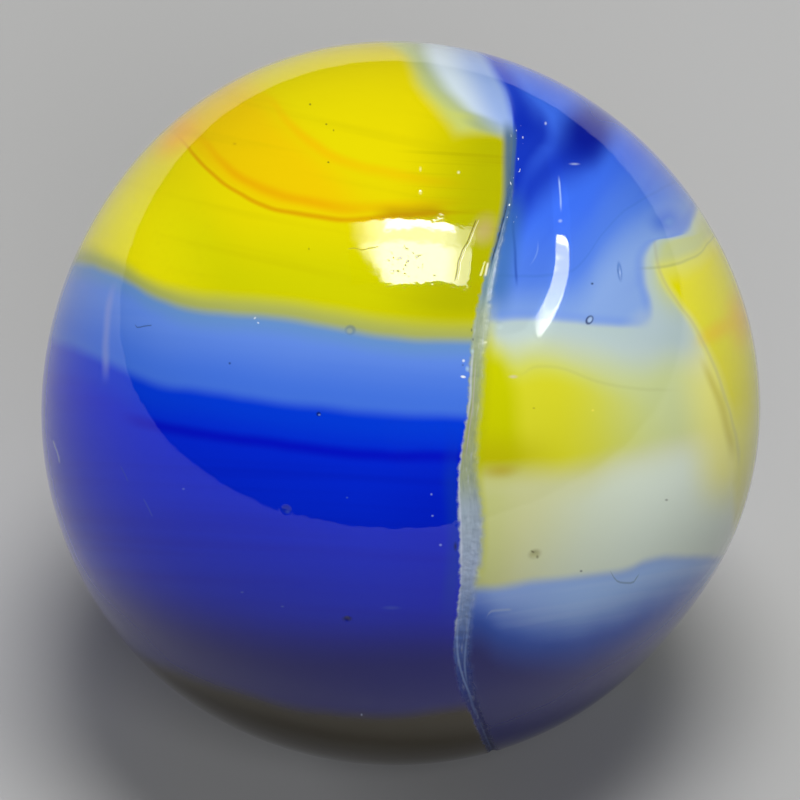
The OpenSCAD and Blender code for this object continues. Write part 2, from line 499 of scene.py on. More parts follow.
@dataclass
class OpenBubbles:
    """Bubbles that broke through the surface and cooled as small round pits.

    A row holds the place on the face in hundredths of the radius, and the radius and the
    depth in millimetres.
    """

    rows: Rows = (
        (-13.4, 20.0, 0.12, 0.008), (-31.0, -29.2, 0.12, 0.006), (-14.3, -59.2, 0.08, 0.02),
        (52.2, 22.8, 0.09, 0.02), (37.2, -41.4, 0.1, 0.006), (60.6, 36.2, 0.07, 0.015),
        (11.3, 51.4, 0.05, 0.01), (5.8, 57.9, 0.05, 0.008), (27.5, 21.5, 0.1, 0.012))
    # In shares of the radius, and the rim's height in shares of the depth
    bowl: Point = (0.2, 1.0)
    rim_place: float = 1.15
    rim_w: float = 0.2
    rim_height: float = 0.15

    def directions(self) -> Array:
        """The unit direction of each bubble in the face frame."""
        place = np.array(self.rows)[:, :2] / HUNDREDTHS
        return np.column_stack([place, np.sqrt(1 - (place ** 2).sum(1))])

    def height(self, out: Array) -> Array:
        """The bubbles' relief over the plain ball, in millimetres, at unit directions."""
        made = np.zeros(len(out))
        for middle, (_, _, radius, depth) in zip(self.directions(), self.rows):
            far = np.linalg.norm(out - middle, axis=1) * RADIUS_MM / radius
            made -= depth * (1 - ease(far, *self.bowl))
            made += (depth * self.rim_height
                     * np.exp(-((far - self.rim_place) / self.rim_w) ** 2))
        return made


@dataclass
class BallSkin:
    """The ball's own surface: a little out of round, with a faint ripple.

    A row of the girth holds an angle round the face in degrees, from its right side up,
    and how far the outline stands out there, in millimetres.
    """

    girth: Points = (
        (-130, 0.127), (-70, 0.027), (-40, -0.078), (-10, 0.045), (45, -0.051), (110, 0.087),
        (160, -0.076))
    # How many rows are repeated after a full turn
    overlap: int = 5
    ripple: float = 0.0025
    ripple_rate: float = 0.45
    ripple_seed: float = 2.2
    steps: int = 12

    def height(self, out: Array) -> Array:
        """The relief over a true ball, in millimetres, at unit directions."""
        again = tuple((angle + FULL_TURN, bulge) for angle, bulge in self.girth[:self.overlap])
        rows = smooth_rows(self.girth + again, self.steps)
        first = rows[0, 0]
        angle = (np.degrees(np.arctan2(out[:, 1], out[:, 0])) - first) % FULL_TURN + first
        girth = np.interp(angle, rows[:, 0], rows[:, 1])
        flank = (out[:, 0] ** 2 + out[:, 1] ** 2) ** 2
        ripple = speckle(out * RADIUS_MM, self.ripple_rate, self.ripple_seed)
        return girth * flank + self.ripple * ripple


# ---- The mesh ----


@dataclass
class BallMesh:
    """A ball of triangles that are small only where the relief is fine.

    Lengths are in millimetres.
    """

    fold: Fold
    bubbles: OpenBubbles
    skin: BallSkin
    first_level: int = 6
    coarse: float = 0.27
    fold_edge: float = 0.032
    shoulder_edge: float = 0.07
    bubble_edge: float = 0.03
    # How much longer an edge may be for each millimetre that it lies further off
    growth: float = 0.35
    # The crease's depth share that counts as open, the fine strip beside the crease, and
    # how far off a closed stretch of it counts
    open_share: float = 0.02
    crease_margin: float = 0.12
    closed_off: float = 0.5
    # Where the shoulder lies, by the gap and by the height in shares of the radius
    shoulder_gaps: Point = (-0.2, 2.8)
    shoulder_span: Point = (0.08, 0.78)
    wall_share: float = 0.6
    bubble_share: float = 1.4
    passes: int = 7
    # How often in a pass the halving is handed on to the longest edges of their triangles
    hand_ons: int = 4

    def edge_size(self, out: Array) -> Array:
        """The longest edge that is wanted at unit directions."""
        gap, turn = self.fold.measure(out)
        open_here = self.fold.at(turn, 3) > self.open_share
        reach = self.fold.crease_w * self.fold.at(turn, 2) / 2 + self.crease_margin
        beside = np.maximum(np.abs(gap) - reach, 0) + np.where(open_here, 0, self.closed_off)
        size = self.fold_edge + self.growth * beside
        front = (out[:, 2] > 0) & within(gap, self.shoulder_gaps)
        front &= within(out[:, 1], self.shoulder_span)
        if front.any():
            rim = self.fold.rim_distance(out[front])
            widest = max(row[2] for row in self.fold.wall)
            off = np.maximum(np.abs(rim - widest / 2) - widest * self.wall_share, 0)
            size[front] = np.minimum(size[front], self.shoulder_edge + self.growth * off)
        for middle, row in zip(self.bubbles.directions(), self.bubbles.rows):
            far = np.linalg.norm(out - middle, axis=1) * RADIUS_MM
            off = np.maximum(far - row[2] * self.bubble_share, 0)
            size = np.minimum(size, self.bubble_edge + self.growth * off)
        return np.minimum(size, self.coarse)

    def start(self) -> tuple[Array, Array]:
        """A ball of even triangles: its unit points and its faces."""
        work = bmesh.new()
        bmesh.ops.create_icosphere(work, subdivisions=self.first_level, radius=1)
        points = np.array([v.co for v in work.verts])
        faces = np.array([[v.index for v in f.verts] for f in work.faces])
        work.free()
        return points / np.linalg.norm(points, axis=1)[:, None], faces

    def split(self, points: Array, faces: Array) -> tuple[Array, Array]:
        """Halve every edge that is too long, and split the triangles that it bounds.

        Args:
            points: unit points.
            faces: the triangles, by their points.

        Returns:
            The points and the faces after the split.
        """
        pairs = np.sort(faces[:, [[0, 1], [1, 2], [2, 0]]].reshape(-1, 2), axis=1)
        edges, back = np.unique(pairs, axis=0, return_inverse=True)
        of_face = back.reshape(-1, 3)
        ends = points[edges]
        length = np.linalg.norm(ends[:, 0] - ends[:, 1], axis=1) * RADIUS_MM
        middle = ends.sum(1)
        middle /= np.linalg.norm(middle, axis=1)[:, None]
        marked = length > self.edge_size(middle)
        longest = of_face[np.arange(len(faces)), length[of_face].argmax(1)]
        for _ in range(self.hand_ons):
            marked[longest[marked[of_face].any(1)]] = True
        number = np.full(len(edges), -1)
        number[marked] = len(points) + np.arange(marked.sum())
        new = number[of_face]
        count = (new >= 0).sum(1)
        made = [faces[count == 0]]
        for turn in range(3):
            a, b, c = np.roll(faces, -turn, axis=1).T
            ab, bc, ca = np.roll(new, -turn, axis=1).T
            one = (count == 1) & (ab >= 0)
            two = (count == 2) & (ca < 0)
            made += [np.column_stack(t)[one] for t in ((a, ab, c), (ab, b, c))]
            made += [np.column_stack(t)[two] for t in ((ab, b, bc), (a, ab, bc), (a, bc, c))]
            if turn == 0:
                corners = ((a, ab, ca), (ab, b, bc), (ca, bc, c), (ab, bc, ca))
                made += [np.column_stack(t)[count == 3] for t in corners]
        return np.vstack([points, middle[marked]]), np.vstack(made)

    def build(self, name: str) -> bpy.types.Object:
        """Build the ball as one object with the fold's measures at each point.

        Args:
            name: the name of the object.

        Returns:
            The new object.
        """
        out, faces = self.start()
        for _ in range(self.passes):
            before = len(out)
            out, faces = self.split(out, faces)
            if len(out) == before:
                break
        height = self.skin.height(out) + self.fold.height(out) + self.bubbles.height(out)
        turn_out = np.array([RIGHT, UP, OUT])
        places = (out * (RADIUS_MM + height)[:, None] * MM) @ turn_out
        mesh = bpy.data.meshes.new(name)
        mesh.from_pydata(places, [], faces)
        mesh.shade_smooth()
        gap, turn = self.fold.measure(out)
        for label, values in (("fold_gap", gap), ("fold_turn", turn)):
            layer = mesh.attributes.new(label, "FLOAT", "POINT")
            layer.data.foreach_set("value", values.astype(np.float32))
        made = put(name, mesh)
        log.info("%s: %d points, %d triangles", name, len(out), len(faces))
        return made


# ---- Colours laid on the face ----


@dataclass
class Field:
    """Places on the face, in hundredths of the radius: x to the right, y up.

    The back is how far a place lies round the back, as zero or less.
    """

    recipe: Recipe
    x: Amount
    y: Amount
    back: "Amount | float" = 0.0
    span: float = 240.0

    def __post_init__(self) -> None:
        """Make the vector and the shares that the marks read."""
        self.vector = self.recipe.joined(self.x, self.y, self.back)
        self.share = [self.recipe.maths("MULTIPLY_ADD", part, 1 / self.span, 0.5)
                      for part in (self.x, self.y)]

    def beside(self, points: Points, upright: bool) -> Amount:
        """How far places lie above a line, or right of an upright one, in shares of the span.

        Args:
            points: the line's points.
            upright: whether the line runs up the face.

        Returns:
            The share.
        """
        ordered = sorted((y, x) if upright else (x, y) for x, y in points)
        drawn = tuple((a / self.span + 0.5, b / self.span + 0.5) for a, b in ordered)
        along, across = self.share[::-1] if upright else self.share
        return across - self.recipe.curve(along, drawn)


class Side(Enum):
    """The side of an edge on which a stream lies."""

    ABOVE = "above"
    BELOW = "below"
    RIGHT_OF = "right of"
    LEFT_OF = "left of"


@dataclass(frozen=True)
class Limit:
    """One edge of a stream and the side of it that counts.

    The edge is a smooth line on the face, or a straight one at a number, level or upright
    as the side asks. It is soft over a length to either side, and shifted right or up.
    """

    side: Side
    edge: Points | float
    soft: float = 1.0
    shift: float = 0.0

    def mask(self, place: Field, top: float = 1.0) -> Amount:
        """The top on the limit's side of its edge and 0 beyond it."""
        upright = self.side in (Side.RIGHT_OF, Side.LEFT_OF)
        if isinstance(self.edge, tuple):
            off, start, span = place.beside(self.edge, upright), 0.0, place.span
        else:
            off, start, span = (place.x if upright else place.y), self.edge, 1.0
        low, high = ((start + self.shift + way * self.soft) / span for way in (-1, 1))
        if self.side in (Side.ABOVE, Side.RIGHT_OF):
            return off.rise(low, high, top)
        return off.rise(high, low, top)


above, below, right_of, left_of = (partial(Limit, side) for side in Side)


@dataclass(frozen=True)
class Mark(ABC):
    """Something laid on the glass in one colour."""

    colour: str

    @abstractmethod
    def mask(self, place: Field) -> Amount:
        """How much of the mark lies at each place, from 0 to 1."""


@dataclass(frozen=True)
class Stream(Mark):
    """A stream of coloured glass, within all of its limits.

    A stream with rates is broken into streaks: how often they change in a hundredth
    along and across the flow, which may be turned.
    """

    limits: tuple[Limit, ...]
    share: float = 1.0
    rates: Point | None = None
    turn: float = 0.0
    bare: float = 0.45
    full: float = 0.7

    def mask(self, place: Field) -> Amount:
        """The product of the limits."""
        made = self.limits[0].mask(place, self.share)
        for limit in self.limits[1:]:
            made = made * limit.mask(place)
        if self.rates:
            streaks = place.recipe.grain(place.recipe.flow(self.turn, self.rates), layers=2.0)
            made = made * streaks.rise(self.bare, self.full)
        return made


@dataclass(frozen=True)
class Thread(Mark):
    """A thin thread of glass along a line, faded at both ends."""

    STEEP: ClassVar[float] = 1.5

    line: Points
    width: float
    share: float = 1.0
    fade: float = 8.0

    @property
    def upright(self) -> bool:
        """Whether the line runs up the face and not across it."""
        wide, high = (max(part) - min(part) for part in zip(*self.line))
        return high > self.STEEP * wide

    def mask(self, place: Field) -> Amount:
        """1 on the line and 0 at its width to either side."""
        off = abs(place.beside(self.line, self.upright))
        ends = sorted(y if self.upright else x for x, y in self.line)
        first, last = ends[0], ends[-1]
        fade = min(self.fade, (last - first) / 2)
        along = place.y if self.upright else place.x
        near = off.rise(self.width / place.span, 0.0, self.share)
        return near * along.rise(first, first + fade) * along.rise(last, last - fade)


@dataclass(frozen=True)
class Spot(Mark):
    """A round or long spot of glass, full within its core and gone at its reach."""

    centre: Point
    reach: Point
    turn: float = 0.0
    share: float = 1.0
    core: float = 0.0

    def mask(self, place: Field) -> Amount:
        """1 within the core and 0 at the reach."""
        recipe = place.recipe
        size = (1 / self.reach[0], 1 / self.reach[1], 1.0)
        if self.turn:
            cos, sin = math.cos(math.radians(self.turn)), math.sin(math.radians(self.turn))
            off = recipe.vector("SUBTRACT", place.vector, (*self.centre, 0.0)).outputs[0]
            axes = ((cos * size[0], sin * size[0], 0.0), (-sin * size[1], cos * size[1], 1.0))
            parts = [Amount(recipe, recipe.vector("DOT_PRODUCT", off, axis).outputs["Value"])
                     for axis in axes]
            near = recipe.joined(*parts, 0.0)
        else:
            back = (-self.centre[0] * size[0], -self.centre[1] * size[1], 0.0)
            near = recipe.vector("MULTIPLY_ADD", place.vector, size, back).outputs[0]
        length = recipe.vector("LENGTH", near).outputs["Value"]
        return Amount(recipe, length).rise(1.0, self.core, self.share)


def lay(marks: list[Mark], place: Field, under: Any) -> Socket:
    """Lay marks over a colour, each over those before it.

    Args:
        marks: the marks.
        place: where each point of the surface lies.
        under: a colour code or a socket.

    Returns:
        The socket of the new colour.
    """
    for mark in marks:
        under = place.recipe.mix(mark.mask(place), under, mark.colour)
    return under


@dataclass(frozen=True)
class LeftGlass:
    """The streams left of the fold, from the lower limb to the top."""

    base: str = "#0028E0"
    yellow_foot: Points = (
        (-115, 44), (-90, 38.5), (-83, 37), (-75, 33.5), (-69, 29.5), (-61, 26), (-47, 24), (-33, 22.8),
        (-19, 20.5), (0, 17.5), (11, 17), (40, 16.5))
    periwinkle_foot: Points = (
        (-115, 22), (-90, 15), (-80, 11), (-72, 7), (-66, 5), (-54, 3.5), (-39, 1), (-19, -1.5),
        (0, -3), (40, -4))
    navy_head: Points = ((-115, -46), (-77, -53), (-52, -60), (-22, -64), (15, -63), (40, -63))
    blue_foot: Points = (
        (-115, -46), (-90, -60), (-75, -69), (-59, -75), (-44, -80), (-22, -85), (-7, -86), (17, -84),
        (40, -83))
    fringe_edge: Points = (
        (-10, 130), (-4, 100), (0, 97.6), (3, 93), (5, 88), (7.5, 84), (11.3, 79), (14.5, 75), (18, 68),
        (22, 60), (60, 40))
    fringe_foot: Points = ((-12, 40), (8, 66), (16, 73.5), (22.4, 74.4), (30, 74.2), (60, 73))
    white_edge: Points = (
        (2, 112), (5.2, 99.6), (7.1, 94), (10.5, 88.5), (14.1, 84.3), (17.4, 81), (22.4, 79),
        (29.4, 76.6), (60, 73))
    low_orange: Points = (
        (-64, 77), (-58.8, 70.4), (-54, 65.4), (-49.3, 61.5), (-44.3, 57.9), (-38.2, 54.8),
        (-30.4, 52.3), (-22.1, 50.9), (-13.7, 50.3), (-4, 51), (5.8, 51.7), (16.9, 52.3), (30, 52.6))
    mid_orange: Points = (
        (-63, 79), (-56.8, 74.5), (-52.7, 70.4), (-48.5, 66.2), (-42.9, 62), (-37.4, 59.2),
        (-27.6, 55.9), (-19.3, 54), (-13.7, 53.4), (0.2, 54), (19.7, 55.1), (30, 55))
    high_orange: Points = (
        (-44, 90), (-39.3, 85.7), (-35.4, 82.9), (-31.8, 78.7), (-27.6, 74.3), (-22.6, 70.4),
        (-17.1, 67), (-10.4, 64.5), (-3.4, 62.9), (7.1, 61.2), (19.7, 59.5), (30, 57.6))
    dark_thread: Points = (
        (-78, -3), (-70, -5.5), (-58, -8), (-47, -9.8), (-33, -11.2), (-19, -13), (0, -14.4),
        (12, -14.8), (30, -15))

    def marks(self) -> list[Mark]:
        """The streams, each laid over those before it."""
        peri, foot = self.periwinkle_foot, self.yellow_foot
        return [
            Stream("#0022D0", (below(-42, 16),), 0.8),
            Stream("#0018C8", (right_of(0, 14), below(-16, 14)), 0.5),
            Stream("#0010C0", (below(peri, 3),), 0.3, (0.006, 0.16), -3),
            # Navy below navy_head: partly the glass's own navy, partly painted shade of the underside.
            Stream("#000484", (below(self.navy_head, 10),)),
            # Dark olive below blue_foot: the yellow glass at the bottom painted dark, as painted shade
            # of the underside.
            Stream("#3E3200", (below(self.blue_foot, 2.5),)),
            Stream("#003AE0", (above(peri, 5, -8),)),
            Thread("#0006CC", self.dark_thread, 2.8, 0.8),
            Stream("#4474E4", (above(peri, 2.2),)),
            Stream("#668EE4", (above(peri, 8, 11),), 0.8),
            Stream("#6490C0", (above(foot, 3, -3.5),), 0.7),
            Stream("#4070E0", (above(peri, 4, 5), below(foot, 4, -5)), 0.15, (0.01, 0.2), -4),
            Thread("#8C9CDC", ((-78.2, 35), (-79.9, 28.7), (-80.8, 17.5), (-81, 4.2)), 1.6, 0.5),
            Stream("#A4AC5C", (above(foot, 1.8, 0.4),)),
            Stream("#C8C800", (above(foot, 3, 4.5),)),
            Stream("#E8E000", (above(foot, 3, 5), left_of(-60, 16))),
            Stream("#DCCE00", (above(((-110, 62), (-62, 58), (-40, 44), (-10, 44), (10, 50), (40, 70)),
                12),), 0.9),
            Stream("#E2BA00", (above(self.low_orange, 3, 1),
                left_of(((-48, 110), (-42, 90), (-30, 76), (-14, 60), (0, 40)), 8)), 0.75),
            Spot("#F0A800", (-62, 74), (12, 7), 45, 0.7),
            Thread("#CC8800", self.low_orange, 1.3, 0.7),
            Thread("#DC9C00", self.mid_orange, 2.6, 0.65, fade=20),
            Thread("#E4AC00", self.high_orange, 2.8, 0.55, fade=20),
            Stream("#D8C800", (below(self.high_orange, 2, 0.5), above(self.low_orange, 3, 1),
                right_of(-14, 10)), 0.5),
            Stream("#A8AA00", (right_of(((2, -20), (3, 26), (9, 50), (13, 76)), 14), above(foot, 5, 6),
                below(78, 8)), 0.9),
            Stream("#968C00", (right_of(4, 8), above(48, 3), below(72, 4)), 0.45, (0.008, 0.5), -3, 0.5,
                0.75),
            Stream("#AA9C00", (above(foot, 6, 8),), 0.16, (0.012, 0.22), -12, 0.5, 0.8),
            Thread("#A87804", ((-9, 51.8), (0, 51.8), (10, 52.2), (16, 51)), 3.2, 0.6),
            # Painted reflection: a tan patch over the yellow glass, where the lamp's dim edge shows
            # beside the highlight.
            Spot("#B8A070", (23.5, 47.5), (6.5, 5), 60, 0.6),
            Stream("#BEC870", (right_of(self.fringe_edge, 3.6, 0.6), above(self.fringe_foot, 2.4))),
            Stream("#A4B494", (right_of(self.white_edge, 3.6, -2.6),), 0.8),
            Spot("#98A884", (24, 76.2), (9, 3), -18, 0.8, 0.2),
            Stream("#CCDCEA", (right_of(self.white_edge, 3.2, 1.6),)),
            Stream("#92AEE8", (right_of(((13, 112), (15.5, 98), (20, 88), (24, 79), (31, 73), (43, 66)),
                5.5),), 0.95),
        ]


@dataclass(frozen=True)
class RightGlass:
    """The streams right of the fold, from the top to the lower limb."""

    base: str = "#B4C8CC"
    flow_line: Points = (
        (16, 35.2), (20, 35), (33, 35), (40, 35.3), (47, 36.5), (51.4, 40), (55.5, 46), (60.5, 51.6),
        (67.5, 56.5), (72, 59), (90, 68))
    cream_head: Points = (
        (-30, 24), (26, 24), (34, 24.5), (44, 24), (54, 23), (62, 22.4), (72, 21.6), (100, 18))
    hook: Points = (
        (60, -2), (64, 12), (67, 20), (68.2, 25), (67.8, 28), (66.2, 33), (66, 38), (67, 42),
        (69.5, 44.8), (74.7, 46), (77.5, 46.8), (79, 48.6), (81, 52.5), (82.5, 57), (88, 66), (94, 80))
    edge_yellow: Points = (
        (94, -20), (93.6, -12), (92, -5), (90, 1), (87.5, 9), (84.5, 16), (80.5, 23), (76.5, 28),
        (72.5, 34), (71, 39), (70, 50))
    yellow_head: Points = ((60, 36.5), (72, 37.5), (77, 38.6), (82, 40.6), (86, 44.5), (95, 58))
    blob_head: Points = (
        (10, 18), (20, 15), (24, 13), (31, 9.5), (39, 10.5), (50, 8.5), (60, 4), (70, -2), (90, -8))
    cream_foot: Points = (
        (-30, -53), (20, -51), (29, -50.5), (37, -49), (46, -48), (56, -47), (63, -46), (68, -43.8),
        (77, -42.6), (89, -43.2), (110, -47))
    steel_foot: Points = (
        (-30, -58), (20, -55), (29, -60), (46, -62.5), (57, -60), (71, -54.5), (85, -49), (110, -44))
    dark_sweep: Points = ((28, 50), (33, 55), (38, 61.5), (44, 66.5), (51, 70.5), (57, 76), (61, 84))

    def marks(self) -> list[Mark]:
        """The streams, each laid over those before it."""
        blue = (above(self.cream_head, 2.4), left_of(self.hook, 2.4))
        strip_end = left_of(((29, 20), (30, 10), (32, 2), (32.5, -8), (33, -30)), 3.5)
        return [
            Stream("#C0D0D0", (below(self.cream_head, 4, -6),), 0.5),
            Stream("#C6D0A0", (below(self.blob_head, 6, 6),
                left_of(((58, 20), (68, 0), (72, -30)), 14)), 0.9),
            Stream("#CCD894", (below(((50, 16), (66, 10), (76, 12), (84, 8)), 6), right_of(56, 10)),
                0.9),
            Stream("#D0D85C", (below(self.blob_head, 6, 3),
                left_of(((46, 14), (62, 0), (66, -30)), 14)), 0.9),
            Stream("#D8D61C", (below(self.blob_head, 5, -1),
                left_of(((42, 14), (56, 0), (56, -30)), 14)), 0.9),
            Stream("#C8CC00", (strip_end, below(((20, 16), (28, 14), (40, 10)), 5))),
            Stream("#BCB808", (below(-10, 5), left_of(38, 10)), 0.7),
            Stream("#D4D8A0", (below(((16, -20), (24, -20), (34, -19), (50, -18), (64, -14), (100, -6)),
                5),)),
            Spot("#B8A428", (27.5, -18.5), (7, 3), 8, 0.6),
            Stream("#D8E4D0", (below(((20, -24), (50, -23), (64, -17), (100, -8)), 6),
                right_of(((34, -60), (44, -30), (50, 0)), 12)), 0.9),
            Stream("#E4F2E8", (right_of(((52, -60), (60, -30), (66, 0)), 12),
                below(((40, -22), (66, -17), (100, -12)), 8)), 0.7),
            Stream("#C8D078", (left_of(((24, -60), (29, -44), (30, -20)), 6), below(-22, 5)), 0.6),
            Stream("#F8F478", (right_of(((86, -40), (83, -14), (81, 6), (84, 18)), 7), above(-26, 9)),
                0.85),
            Stream("#90B0F0", (below(self.cream_foot, 2),)),
            Stream("#A0C4FC", (below(self.cream_foot, 2, -1), right_of(42, 14)), 0.95),
            Stream("#2458C8", (below(self.steel_foot, 7, 1.5),)),
            # Dark navy below steel_foot: partly the glass's own navy, partly painted shade of the lower
            # limb.
            Stream("#000878", (below(self.steel_foot, 8, -7.5),)),
            Stream("#BCD4FC", (below(self.cream_foot, 2, -1), above(self.steel_foot, 5)), 0.18,
                (0.012, 0.3), 9),
            Stream("#C8D080", (right_of(self.hook, 3, 4), above(27, 7)), 0.8),
            Stream("#E8E654", (right_of(self.edge_yellow, 1.6, -0.8), below(self.yellow_head, 2.5, 1)),
                0.8),
            Stream("#E8E200", (right_of(self.edge_yellow, 1.4, 1.2), below(self.yellow_head, 3.6, -3),
                above(-4, 7))),
            Spot("#F4C400", (95, 24), (7, 13), 0, 0.8),
            Spot("#F0C400", (88, 20), (9, 4), 32, 0.6),
            Thread("#94A070", self.yellow_head, 0.8, 0.35, fade=3),
            Thread("#A8A890", self.edge_yellow, 0.9, 0.3),
            Thread("#C4B800", ((83, 14), (86.3, 5.4), (88, 1.6), (89.7, -4.2), (91, -8.7),
                (91.9, -12.8), (92.2, -18)), 2.2, 0.55),
            Thread("#A0A868", ((30, 7), (33, 8), (38, 10), (45.5, 9.2), (53, 6.4), (64, 4.2),
                (78, 3.6)), 0.9, 0.16),
            Spot("#D8C8B8", (31, 7.4), (1.8, 0.8), 0, 0.6),
            Stream("#3C6EF0", blue),
            Stream("#5480E4", (*blue, below(self.flow_line, 9, 9)), 0.8),
            Stream("#7098E4", (*blue, below(self.flow_line, 6, -4)), 0.7),
            Stream("#8CACE4", (*blue, below(self.flow_line, 8, -9)), 0.8),
            Stream("#2454DC", (*blue, above(34, 8)), 0.3, (0.012, 0.09), 50, 0.5, 0.75),
            Spot("#B4C8D4", (69, 21.5), (10, 7), 20, 0.6),
            Thread("#0C2CB8", self.dark_sweep, 12.5, 0.85, fade=8),
            Spot("#001498", (52, 75.5), (15, 11), 55, 0.95, 0.15),
            Thread("#1034C8", ((20, 112), (24.5, 99), (29, 91), (32, 85), (34, 78), (36, 70)), 5, 0.8),
            Thread("#3C6CC8", self.flow_line, 0.8, 0.25),
            Thread("#0C34A8", ((31.3, 54), (31.3, 51.7), (31.6, 42.6), (32.2, 31.4)), 0.7, 0.6, fade=4),
            Spot("#3C68DC", (73.8, 50.6), (7, 5), 20, 0.7),
            Spot("#6C98E0", (74.6, 50.2), (2.2, 1.8), 0, 0.7),
            # Painted glint: a thin bright line and the dot at its foot, where the fading wall of the
            # shoulder catches the lamp.
            Thread("#A8C4F8", ((43.8, 63), (43.9, 61.8), (44.1, 56.5), (44.4, 52)), 0.45, 0.7, fade=3),
            Spot("#B4CCF8", (44.2, 50), (0.9, 0.7), 0, 0.6),
            # Painted reflection: faint pale arcs, where small ripples in the shoulder catch the lamp.
            Thread("#88ACF4", ((38, 45.3), (37.5, 41.2), (35.5, 37.6)), 0.4, 0.4, fade=3),
        ]


@dataclass(frozen=True)
class SeamGlass:
    """The frosted glass of the crease, and the glass drawn out along it on either side.

    A stop holds degrees round the ball and a colour. Marks along the fold are placed by
    hundredths of a millimetre across it and degrees round the ball.
    """

    turn_low: float = -110.0
    turn_high: float = 100.0
    stops: tuple[tuple[float, str], ...] = (
        (-100, "#101838"), (-80, "#101848"), (-60, "#101C70"), (-50, "#1C3890"), (-42, "#4C68B0"),
        (-36, "#7C94C4"), (-28, "#A4B4D0"), (-18, "#A0B0C0"), (-11, "#98A484"), (-4, "#98A26C"),
        (4, "#94A274"), (13, "#9CAA90"), (20, "#7090A0"), (30, "#40689C"), (42, "#405C88"))

    def colour(self, recipe: Recipe, turn: Amount) -> Socket:
        """The crease's colour along the fold."""
        low, span = self.turn_low, self.turn_high - self.turn_low
        placed = [((at - low) / span, code) for at, code in self.stops]
        share = recipe.maths("MULTIPLY_ADD", turn, 1 / span, -low / span)
        made = recipe.node("ValToRGB", {"stops": placed}, {0: share})
        return made.outputs[0]

    def beside(self) -> list[Mark]:
        """The glass that is drawn out beside the crease."""
        return [
            Stream("#0828B4", (right_of(3, 4), left_of(((20, 24), (26, 34), (44, 44), (70, 50),
                (90, 56), (60, 66)), 22), above(30, 6), below(62, 8)), 0.9),
            Stream("#3C6CA4", (right_of(1, 3), left_of(((34, 36), (46, 24), (56, 15)), 24),
                above(16, 4), below(36, 5)), 0.7),
            Stream("#446488", (left_of(8, 4), right_of(((-5, 20), (-6, 24), (-9, 31), (-15, 40),
                (-21, 50)), 10), above(20, 4), below(53, 3)), 0.9),
            Stream("#103CB8", (left_of(-22, 8), right_of(-50, 16), above(-34, 6), below(-8, 6)), 0.5),
            Stream("#BCC008", (right_of(14, 6), left_of(34, 12), above(-28, 5), below(13, 6)), 0.6),
        ]

    def across(self) -> list[Mark]:
        """The marks that cross the crease."""
        return [
            # Painted shade: the dark line in the crease below the lip's step.
            Thread("#101C28", ((-3, 22), (-2, 37)), 2.6, 0.85, fade=3),
            # Painted highlight: the pale line where the step beside the crease catches the light.
            Thread("#A8B8C4", ((2, 17), (2, 34)), 1.6, 0.5, fade=4),
            # Painted highlight: the lit left wall of the crease, a pale line along its edge.
            Thread("#CCD4EC", ((-15, -42), (-14, -34), (-18, -27), (-22, -20), (-18, -12), (-12, -4),
                (-9, 4), (-10, 10)), 5, 0.6, fade=4),
            Thread("#C4B8C4", ((-4, -10), (-2, -2), (0, 8)), 2.5, 0.4, fade=4),
            Thread("#A0A060", ((-10, -10), (-12, -6), (-9, -2)), 4, 0.6, fade=2),
            Thread("#8CA4D8", ((-10, -32), (-9, -42), (0, -52), (4, -58)), 4, 0.8, fade=6),
            Thread("#8CA4D8", ((14, -32), (13, -40), (6, -48), (4, -54)), 4, 0.7, fade=6),
            Thread("#7890C8", ((2, -52), (0, -60), (3, -64)), 5, 0.45, fade=4),
            Thread("#5C70A0", ((2, -62), (1, -74), (0, -86)), 3, 0.5, fade=5),
        ]


